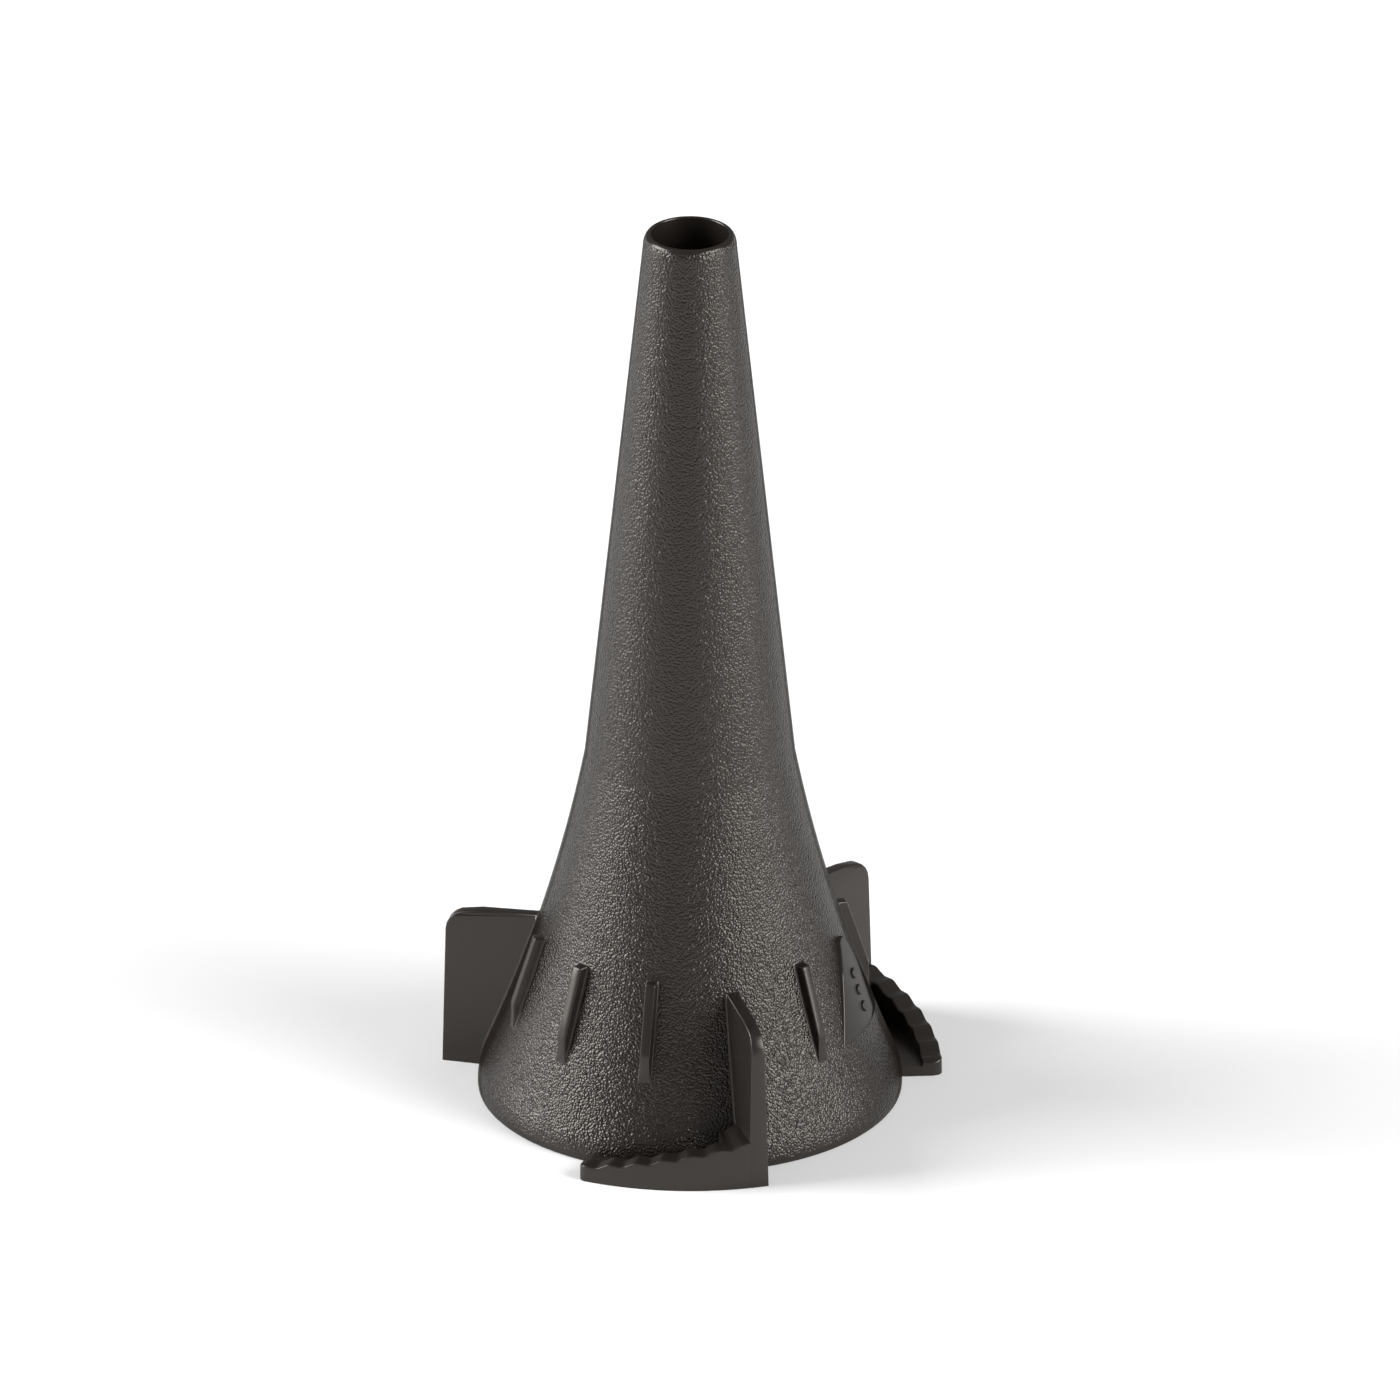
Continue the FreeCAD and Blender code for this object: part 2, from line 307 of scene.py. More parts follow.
def linear(hex_colour: str) -> tuple[float, float, float, float]:
    """Turns an sRGB hex colour into the linear colour that a shader takes.

    Args:
        hex_colour: Six hex digits after a hash.

    Returns:
        Red, green, blue and an alpha of 1.
    """
    parts = [int(hex_colour[at : at + 2], 16) / 255 for at in (1, 3, 5)]
    red, green, blue = (c / 12.92 if c <= 0.04045 else ((c + 0.055) / 1.055) ** 2.4 for c in parts)
    return red, green, blue, 1.0


def add_node(
    tree: bpy.types.NodeTree,
    kind: str,
    settings: dict[str, object] | None = None,
    values: dict[str, object] | None = None,
    links: dict[str, bpy.types.NodeSocket] | None = None,
) -> bpy.types.Node:
    """Adds one shader node.

    Args:
        tree: The node tree it goes in.
        kind: The node's type name.
        settings: Its own properties, by name.
        values: Fixed values of its input sockets, by socket name.
        links: What feeds its input sockets, by socket name.

    Returns:
        The node.
    """
    node = tree.nodes.new(kind)
    for name, value in (settings or {}).items():
        setattr(node, name, value)
    for name, value in (values or {}).items():
        node.inputs[name].default_value = value
    for name, source in (links or {}).items():
        tree.links.new(source, node.inputs[name])
    return node


class Tooling(Enum):
    """How the steel of the mould was finished, which is what the plastic copies."""

    SPARK_ERODED = "spark_eroded"
    STONED = "stoned"
    POLISHED = "polished"


@dataclass(frozen=True)
class MouldedPolypropylene:
    """Black polypropylene, injection moulded against one kind of tool surface.

    The plastic is dyed through, so its colour is nearly one. What the eye sees is the tool's
    surface: broad soft highlights, broken into a fine glitter where the steel was spark eroded.
    """

    name: str
    tooling: Tooling
    colour: str
    roughness: float
    gloss_drift: float  # how much the roughness wanders over the surface, from uneven packing
    grain: float  # millimetres from one mark of the tool surface to the next
    grain_depth: float  # millimetres from the floor of a mark to its rim
    edge_sheen: float  # specular level seen edge-on, where the tool marks hide each other
    face_sheen: float = 0.5  # specular level seen face-on
    sheen_span: tuple[float, float] = (0.3, 0.8)  # facing values between which it changes over
    ior: float = 1.49
    # a warm colour on every reflection: painted warm light, since the softboxes themselves shine
    # white
    sheen_tint: str = "#fff7ef"
    drift_size: float = 2.2  # millimetres across one patch of duller or shinier plastic
    noise_span: tuple[float, float] = (0.3, 0.7)  # where nearly all values of a soft noise lie
    crater_weight: float = 1.3  # how much a crater's round bowl counts against the merging noise
    merging: float = 0.9  # scale of the merging noise, as a share of the craters' own
    plain_foot: float = 0.30  # height in millimetres below which a spark-eroded wall is left plain
    plain_lip: float = 0.16  # millimetres below the top where the grain stops
    fade: float = 0.1  # millimetres of height over which the grain fades in or out

    def material(self, top: float) -> bpy.types.Material:
        """Builds the material.

        Args:
            top: The height of the whole part in millimetres, where a grained wall turns plain.

        Returns:
            The material.
        """
        made = bpy.data.materials.new(self.name)
        made.use_nodes = True
        tree = made.node_tree
        tree.nodes.clear()
        place = add_node(tree, "ShaderNodeTexCoord").outputs["Object"]
        # Patches about 2 mm across, where the melt packed more or less tightly against the steel.
        drift = add_node(
            tree,
            "ShaderNodeTexNoise",
            values={"Scale": 1 / (self.drift_size * MM), "Detail": 2.0, "Roughness": 0.5},
            links={"Vector": place},
        )
        roughness = add_node(
            tree,
            "ShaderNodeMapRange",
            values={
                "From Min": self.noise_span[0],
                "From Max": self.noise_span[1],
                "To Min": self.roughness - self.gloss_drift,
                "To Max": self.roughness + self.gloss_drift,
            },
            links={"Value": drift.outputs["Fac"]},
        )
        relief = self._relief(tree, place, top)
        facing = add_node(tree, "ShaderNodeLayerWeight", values={"Blend": 0.5}).outputs["Facing"]
        sheen = add_node(
            tree,
            "ShaderNodeMapRange",
            values={
                "From Min": self.sheen_span[0],
                "From Max": self.sheen_span[1],
                "To Min": self.face_sheen,
                "To Max": self.edge_sheen,
            },
            links={"Value": facing},
        )
        shader = add_node(
            tree,
            "ShaderNodeBsdfPrincipled",
            values={
                "Base Color": linear(self.colour),
                "IOR": self.ior,
                "Specular Tint": linear(self.sheen_tint),
            },
            links={
                "Roughness": roughness.outputs["Result"],
                "Specular IOR Level": sheen.outputs["Result"],
                "Normal": relief,
            },
        )
        add_node(tree, "ShaderNodeOutputMaterial", links={"Surface": shader.outputs["BSDF"]})
        return made

    def _relief(
        self, tree: bpy.types.NodeTree, place: bpy.types.NodeSocket, top: float
    ) -> bpy.types.NodeSocket:
        """Adds the tool surface's relief.

        Args:
            tree: The material's node tree.
            place: The object coordinates.
            top: The height of the whole part in millimetres.

        Returns:
            The socket that gives the bumped normal.
        """
        per_metre = 1 / (self.grain * MM)
        if self.tooling is Tooling.SPARK_ERODED:
            # Each spark leaves a shallow round crater in the steel, and the plastic a round bump.
            craters = add_node(
                tree,
                "ShaderNodeTexVoronoi",
                values={"Scale": per_metre, "Randomness": 1.0},
                links={"Vector": place},
            )
            merging = add_node(
                tree,
                "ShaderNodeTexNoise",
                values={"Scale": per_metre * self.merging, "Detail": 0.0},
                links={"Vector": place},
            )
            height = add_node(
                tree,
                "ShaderNodeMath",
                settings={"operation": "MULTIPLY_ADD"},
                values={0: -self.crater_weight},
                links={1: craters.outputs["Distance"], 2: merging.outputs["Fac"]},
            ).outputs["Value"]
            level = add_node(tree, "ShaderNodeSeparateXYZ", links={"Vector": place}).outputs["Z"]
            above_foot = add_node(
                tree,
                "ShaderNodeMapRange",
                settings={"interpolation_type": "SMOOTHSTEP"},
                values={
                    "From Min": (self.plain_foot - self.fade) * MM,
                    "From Max": self.plain_foot * MM,
                },
                links={"Value": level},
            )
            below_lip = add_node(
                tree,
                "ShaderNodeMapRange",
                settings={"interpolation_type": "SMOOTHSTEP"},
                values={
                    "From Min": (top - self.plain_lip + self.fade) * MM,
                    "From Max": (top - self.plain_lip) * MM,
                },
                links={"Value": level},
            )
            grained = add_node(
                tree,
                "ShaderNodeMath",
                settings={"operation": "MULTIPLY"},
                links={0: above_foot.outputs["Result"], 1: below_lip.outputs["Result"]},
            )
            height = add_node(
                tree,
                "ShaderNodeMath",
                settings={"operation": "MULTIPLY"},
                links={0: height, 1: grained.outputs["Value"]},
            ).outputs["Value"]
        else:
            # Stoned and polished steel leave a fine even tooth.
            height = add_node(
                tree,
                "ShaderNodeTexNoise",
                values={"Scale": per_metre, "Detail": 3.0, "Roughness": 0.55},
                links={"Vector": place},
            ).outputs["Fac"]
        bump = add_node(
            tree,
            "ShaderNodeBump",
            values={"Strength": 1.0, "Distance": self.grain_depth * MM},
            links={"Height": height},
        )
        return bump.outputs["Normal"]


# Polypropylene moulded on spark-eroded steel, outside on the whole wall: a fine round grain that
# glitters in a highlight and goes dull edge-on. The grain is judged to be about 0.07 mm. It is
# drawn about a quarter coarser, because a finer one doesn't show.
GRAINED = MouldedPolypropylene(
    name="spark_eroded_polypropylene",
    tooling=Tooling.SPARK_ERODED,
    colour="#1b1714",
    roughness=0.24,
    gloss_drift=0.02,
    grain=0.085,
    grain_depth=0.022,
    edge_sheen=0.005,
)
# The same plastic on stoned steel, on fins, ramps, ribs and the bore: an even satin. The marks of a
# 320-grit stone are about 0.05 mm apart, and are drawn three times as coarse, so that they show.
SATIN = MouldedPolypropylene(
    name="satin_polypropylene",
    tooling=Tooling.STONED,
    colour="#1d1916",
    roughness=0.31,
    gloss_drift=0.03,
    grain=0.15,
    grain_depth=0.0010,
    edge_sheen=0.30,
)
# The same plastic on a polished insert, on the size pad: the finest tooth of the three, and one
# broad soft highlight that dies away edge-on. Its 600-grit marks, about 0.025 mm apart, are drawn
# three times as coarse too.
POLISHED = MouldedPolypropylene(
    name="polished_polypropylene",
    tooling=Tooling.POLISHED,
    colour="#1a1716",
    roughness=0.34,
    gloss_drift=0.02,
    grain=0.08,
    grain_depth=0.0006,
    edge_sheen=0.0,
)


# --- The wall ---


@dataclass(frozen=True)
class FlareCurve:
    """The circle, in radius and height, that the flare's hollow outside follows."""

    centre_r: float
    centre_z: float
    radius: float

    def radius_at(self, z: float, inwards: float = 0.0) -> float:
        """Radius of the curve at a height, moved in by some millimetres."""
        return self.centre_r - math.sqrt((self.radius + inwards) ** 2 - (self.centre_z - z) ** 2)


def curve_through(points: Sequence[tuple[float, float]]) -> FlareCurve:
    """Finds the circle through three points.

    Args:
        points: Three pairs of radius and height.

    Returns:
        The circle.
    """
    (ax, ay), (bx, by), (cx, cy) = points
    across = 2 * (ax * (by - cy) + bx * (cy - ay) + cx * (ay - by))
    squares = [x * x + y * y for x, y in points]
    centre_x = (squares[0] * (by - cy) + squares[1] * (cy - ay) + squares[2] * (ay - by)) / across
    centre_y = (squares[0] * (cx - bx) + squares[1] * (ax - cx) + squares[2] * (bx - ax)) / across
    return FlareCurve(centre_x, centre_y, math.hypot(ax - centre_x, ay - centre_y))


@dataclass
class TaperedWall:
    """The one unbroken wall of the speculum, in the five lengths that the frame divides it into."""

    grained: bpy.types.Material
    smooth: bpy.types.Material
    foot_blend: float = 2.0  # rounding between the flare and the upright foot
    foot_round: float = 0.07
    socket_lead: float = 0.10  # chamfer inside the wide end
    step: float = 0.3  # height of one band of facets on the flare
    fine_step: float = 0.1  # the same on the foot and the lip
    cone_step: float = 1.2  # the same on the straight cone
    rounding_start: float = 0.5  # below the top, where the lip starts to curve in
    lip_crest: float = 1.43  # radius of the lip's highest ring
    inside: float = 0.002  # keeps this finer round within the frame's coarser one
    upward: float = 0.3  # a face whose normal rises more than this takes the outside's finish
    downward: float = -0.9  # a face whose normal falls more than this never does
    curve: FlareCurve = field(init=False)

    def __post_init__(self) -> None:
        """Takes the wall's stations from the frame."""
        collar, lower = reach_of("socket_collar"), reach_of("lower_flare")
        upper, cone, rim = reach_of("upper_flare"), reach_of("ear_cone"), reach_of("tip_rim")
        self.foot_r, self.collar_z = collar.outer - self.inside, collar.high
        self.split_z, self.neck_z, self.neck_r = upper.low, cone.low, cone.outer
        self.lip_z, self.lip_r, self.top = rim.low, rim.outer, rim.high
        self.socket_r, self.tip_r = bore_radius("head_socket"), bore_radius("tip_opening")
        self.curve = curve_through(
            [(lower.outer, lower.low), (upper.outer, upper.low), (cone.outer, cone.low)]
        )
        self.blend_r = self.foot_r - self.foot_blend
        self.blend_z = self.curve.centre_z - math.sqrt(
            (self.curve.radius + self.foot_blend) ** 2 - (self.curve.centre_r - self.blend_r) ** 2
        )
        share = self.foot_blend / (self.curve.radius + self.foot_blend)
        self.blend_top = self.blend_z + share * (self.curve.centre_z - self.blend_z)
        self.thickness = (
            math.hypot(self.curve.centre_r - self.socket_r, self.curve.centre_z - self.collar_z)
            - self.curve.radius
        )

    def outer_r(self, z: float) -> float:
        """Gives the wall's outer radius, below the lip's rounding.

        Args:
            z: The height.

        Returns:
            The radius there.
        """
        if z >= self.neck_z:
            share = (z - self.neck_z) / (self.lip_z - self.neck_z)
            return self.neck_r + share * (self.lip_r - self.neck_r)
        if z >= self.blend_top:
            return self.curve.radius_at(z)
        if z >= self.blend_z:
            return self.blend_r + math.sqrt(self.foot_blend ** 2 - (z - self.blend_z) ** 2)
        return self.foot_r

    def bore_r(self, z: float) -> float:
        """Gives the bore's radius, between the socket and the straight opening.

        Args:
            z: The height.

        Returns:
            The radius there.
        """
        if z <= self.neck_z:
            return self.curve.radius_at(z, self.thickness)
        neck = self.curve.radius_at(self.neck_z, self.thickness)
        share = (z - self.neck_z) / (self.lip_z - self.neck_z)
        return neck + share * (self.tip_r - neck)

    def stations(self, low: float, high: float, step: float) -> list[float]:
        """Even heights from low to high, no further apart than a step."""
        count = math.ceil((high - low) / step)
        return [low + (high - low) * index / count for index in range(count + 1)]

    def turn(self, name: str, section: Sequence[tuple[float, float]]) -> bpy.types.Object:
        """Draws one closed section round the axis, ring by ring.

        Args:
            name: The piece's name.
            section: Pairs of radius and height, once round the section.

        Returns:
            The closed ring.
        """
        radius, z = section[0]
        bpy.ops.mesh.primitive_circle_add(
            vertices=FACETS_ROUND, radius=radius, fill_type="NOTHING", location=(0, 0, z)
        )
        ring = settle(bpy.context.object, name)
        with editing(ring):
            bpy.ops.mesh.select_all(action="SELECT")
            for next_radius, next_z in [*section[1:], section[0]]:
                rise = (0, 0, next_z - z)
                bpy.ops.mesh.extrude_edges_move(TRANSFORM_OT_translate={"value": rise})
                grow = next_radius / radius
                bpy.ops.transform.resize(value=(grow, grow, 1), center_override=(0, 0, next_z))
                radius, z = next_radius, next_z
            close_up(ring)
        return ring

    def dress(self, ring: bpy.types.Object) -> None:
        """Gives a finished ring its smooth bore and its grained outside.

        Args:
            ring: The ring, in metres.
        """
        ring.data.materials.append(self.smooth)
        ring.data.materials.append(self.grained)
        with editing(ring):
            pick_faces(
                ring,
                lambda face: face.normal.z > self.upward
                or (face.normal.z > self.downward and faces_out(face)),
            )
            ring.active_material_index = 1
            bpy.ops.object.material_slot_assign()

    def build_collar(self) -> bpy.types.Object:
        """Models the rounded foot, with the socket inside it.

        Returns:
            The closed ring.
        """
        corner = [
            (self.foot_r - self.foot_round * (1 - math.sin(a)), self.foot_round * (1 - math.cos(a)))
            for a in (math.radians(degrees) for degrees in (0, 30, 60, 90))
        ]
        heights = self.stations(self.blend_z, self.collar_z, self.fine_step)
        rise = [(self.outer_r(z), z) for z in heights]
        bore = [
            (self.socket_r, self.collar_z),
            (self.socket_r, self.socket_lead),
            (self.socket_r + self.socket_lead, 0.0),
        ]
        return self.turn("wall_collar", corner + rise + bore)

    def build_length(self, name: str, low: float, high: float, step: float) -> bpy.types.Object:
        """Models one plain length of the wall.

        Args:
            name: The piece's name.
            low: Where it starts.
            high: Where it ends.
            step: The height of one band of facets.

        Returns:
            The closed ring.
        """
        heights = self.stations(low, high, step)
        outside = [(self.outer_r(z), z) for z in heights]
        bore = [(self.bore_r(z), z) for z in reversed(heights)]
        return self.turn(name, outside + bore)

    def build_rim(self) -> bpy.types.Object:
        """Models the lip, with a full round from outside to bore.

        Returns:
            The closed ring.
        """
        start = self.top - self.rounding_start
        outside = [(self.outer_r(z), z) for z in self.stations(self.lip_z, start, self.fine_step)]
        run_in = self.outer_r(start) - self.lip_crest
        for degrees in range(10, 91, 10):
            a = math.radians(degrees)
            outside.append(
                (
                    self.lip_crest + run_in * math.cos(a),
                    self.top - self.rounding_start * (1 - math.sin(a)),
                )
            )
        inner = self.lip_crest - self.tip_r
        bore = [
            (self.lip_crest - inner * math.sin(a), self.top - inner * (1 - math.cos(a)))
            for a in (math.radians(degrees) for degrees in (15, 30, 45, 60, 75, 90))
        ]
        return self.turn("wall_rim", outside + bore + [(self.tip_r, self.lip_z)])

    def build(self) -> list[bpy.types.Object]:
        """Builds and dresses all five lengths.

        Returns:
            The pieces, from the foot up.
        """
        lengths = [
            ("wall_lower_flare", "lower_flare", self.collar_z, self.split_z, self.step),
            ("wall_upper_flare", "upper_flare", self.split_z, self.neck_z, self.step),
            ("wall_cone", "ear_cone", self.neck_z, self.lip_z, self.cone_step),
        ]
        plan = [(self.build_collar(), "socket_collar", "smooth_edge")]
        for name, node, low, high, step in lengths:
            plan.append((self.build_length(name, low, high, step), node, "grained_wall"))
        plan.append((self.build_rim(), "tip_rim", "smooth_edge"))
        for ring, node, slot in plan:
            finish_piece(ring)
            self.dress(ring)
            stand_in(ring, node, slot)
        return [ring for ring, _, _ in plan]


# --- Plates that stand on the wall ---


@dataclass
class RootedPlate:
    """A thin radial plate that grows out of the wall with a small fillet at its root."""

    wall: TaperedWall
    name: str
    low: float
    high: float
    foot_thickness: float
    top_thickness: float
    fillet: float
    throw: float = 4.0  # how far it is drawn out before its outline is trimmed
    fall: float = 0.0  # degrees that its top edge falls away outwards
    buried: float = 0.15  # how far its root reaches into the wall
    cuts: int = 20  # levels of points between foot and top, so that it follows the wall's curve
    facing: float = 0.7  # a face whose normal points out more than this is on the wall
    clear: float = 0.04  # how far past its root fillet the rounded edges start
    sharp: float = 50.0  # an edge that turns more than this is rounded

    def build(self) -> bpy.types.Object:
        """Models the plate on the +X side, with its outline still to be trimmed.

        Returns:
            The plate.
        """
        low, high = self.low - self.fillet, self.high + self.fillet
        bpy.ops.mesh.primitive_cube_add(
            size=1,
            location=(-self.buried / 2, 0, (low + high) / 2),
            scale=(self.buried, self.foot_thickness + 2 * self.fillet, high - low),
        )
        plate = settle(bpy.context.object, self.name)
        narrowing = (self.top_thickness + 2 * self.fillet) / (self.foot_thickness + 2 * self.fillet)
        with editing(plate):
            pick_points(plate, lambda co: co.z > (low + high) / 2)
            bpy.ops.transform.resize(value=(1, narrowing, 1), center_override=(0, 0, high))
            pick_edges(plate, lambda edge: abs(edge.verts[0].co.z - edge.verts[1].co.z) > NEAR)
            bpy.ops.mesh.subdivide(number_cuts=self.cuts)
            self._follow_wall(plate, low, high)
            pick_faces(plate, lambda face: face.normal.x > self.facing)
            self._raise_fillet()
            draw = (self.throw, 0, -self.throw * math.tan(math.radians(self.fall)))
            bpy.ops.mesh.extrude_region_move(TRANSFORM_OT_translate={"value": draw})
        return plate

    def _follow_wall(self, plate: bpy.types.Object, low: float, high: float) -> None:
        """Moves each level of the footprint out to the wall's own radius.

        Args:
            plate: The plate, open in edit mode.
            low: Where its footprint starts.
            high: Where it ends.
        """
        half_width = self.foot_thickness / 2 + self.fillet
        for index in range(self.cuts + 2):
            z = low + (high - low) * index / (self.cuts + 1)
            radius = self.wall.outer_r(z)
            pick_points(plate, lambda co: abs(co.z - z) < NEAR)
            sagitta = half_width ** 2 / (2 * radius)
            bpy.ops.transform.translate(value=(radius - sagitta, 0, 0))

    def _raise_fillet(self) -> None:
        """Insets the footprint in four steps that rise along a quarter circle."""
        angles = [math.radians(degrees) for degrees in (0, 22.5, 45, 67.5, 90)]
        for before, after in zip(angles, angles[1:]):
            bpy.ops.mesh.inset(
                thickness=self.fillet * (math.sin(after) - math.sin(before)),
                depth=self.fillet * (math.cos(before) - math.cos(after)),
                use_boundary=True,
                use_even_offset=True,
            )

    def soften(self, plate: bpy.types.Object, width: float) -> None:
        """Rounds the plate's free edges, clear of its root.

        Args:
            plate: The plate, open in edit mode with its outline trimmed.
            width: The rounding's width.
        """

        def is_free(edge: bmesh.types.BMEdge) -> bool:
            """Whether an edge stands clear of the wall and the base, and is sharp."""
            middle = (edge.verts[0].co + edge.verts[1].co) / 2
            root = self.wall.outer_r(middle.z) + self.fillet + self.clear
            return middle.z > WELD and middle.x > root and turns_sharply(edge, self.sharp)

        pick_edges(plate, is_free)
        bpy.ops.mesh.bevel(
            offset=width, offset_type="OFFSET", segments=3, affect="EDGES", clamp_overlap=False
        )


@dataclass
class LockingFins:
    """Three radial fins that lead the speculum into the instrument head."""

    wall: TaperedWall
    satin: bpy.types.Material
    count: int = 3
    foot_thickness: float = 0.76
    top_thickness: float = 0.44
    overhang: float = 0.4  # how far below the base it is drawn, to be trimmed level
    corner: float = 0.75  # radius of the outer top corner
    draft: float = 1.0  # degrees that its outer edge leans in
    top_fall: float = 2.0  # degrees that its top edge falls away outwards
    root_fillet: float = 0.12
    edge_round: float = 0.07

    def model(self) -> bpy.types.Object:
        """Models one fin on the +X side.

        Returns:
            The fin, in millimetres.
        """
        reach = reach_of("locking_fin_1")
        root = RootedPlate(
            self.wall,
            "fin",
            low=-self.overhang,
            high=reach.high,
            foot_thickness=self.foot_thickness,
            top_thickness=self.top_thickness,
            fillet=self.root_fillet,
            fall=self.top_fall,
        )
        fin = root.build()
        edge_x = math.sqrt(reach.outer ** 2 - (self.foot_thickness / 2) ** 2)
        draft = math.radians(self.draft)
        top_length = edge_x - self.wall.outer_r(reach.high)
        top_z = reach.high - top_length * math.tan(math.radians(self.top_fall))
        top_x = edge_x - top_z * math.tan(draft)
        with editing(fin):
            trim(fin, Vector((0, 0, 0)), Vector((0, 0, -1)))
            trim(fin, Vector((edge_x, 0, 0)), Vector((math.cos(draft), 0, math.sin(draft))))
            # The outer top corner is a run of cuts that touch one circle.
            centre = Vector((top_x - self.corner, 0, top_z - self.corner))
            for a in (math.radians(degrees) for degrees in (9, 27, 45, 63, 81)):
                outward = Vector((math.cos(a), 0, math.sin(a)))
                trim(fin, centre + outward * self.corner, outward)
            root.soften(fin, self.edge_round)
            close_up(fin)
        return fin

    def build(self) -> list[bpy.types.Object]:
        """Builds and dresses all the fins."""
        return set_round(self.model(), "locking_fin", self.count, self.satin)


@dataclass
class GripRibs:
    """Short ribs round the flare that give the fingers a hold."""

    wall: TaperedWall
    satin: bpy.types.Material
    count: int = 8
    thickness: float = 0.38
    top_depth: float = 0.38  # how far the square top end stands out from the wall
    knee_z: float = 3.95  # where its upright outer edge meets its slanted one
    run_out: float = 2.4  # lower than where the rib dies into the flare
    throw: float = 2.5
    buried: float = 0.12
    root_fillet: float = 0.08
    edge_round: float = 0.06

    def model(self) -> bpy.types.Object:
        """Models one rib on the +X side.

        Returns:
            The rib, in millimetres.
        """
        reach = reach_of("grip_rib_1")
        root = RootedPlate(
            self.wall,
            "rib",
            low=self.run_out,
            high=reach.high,
            foot_thickness=self.thickness,
            top_thickness=self.thickness,
            fillet=self.root_fillet,
            throw=self.throw,
            buried=self.buried,
        )
        rib = root.build()
        knee_x = math.sqrt(reach.outer ** 2 - (self.thickness / 2) ** 2)
        top_x = self.wall.outer_r(reach.high) + self.top_depth
        slant = Vector((reach.high - self.knee_z, 0, knee_x - top_x))
        with editing(rib):
            trim(rib, Vector((knee_x, 0, 0)), Vector((1, 0, 0)))
            trim(rib, Vector((knee_x, 0, self.knee_z)), slant.normalized())
            root.soften(rib, self.edge_round)
            close_up(rib)
        return rib

    def build(self) -> list[bpy.types.Object]:
        """Builds and dresses all the ribs."""
        return set_round(self.model(), "grip_rib", self.count, self.satin)


# --- Cam ramps ---


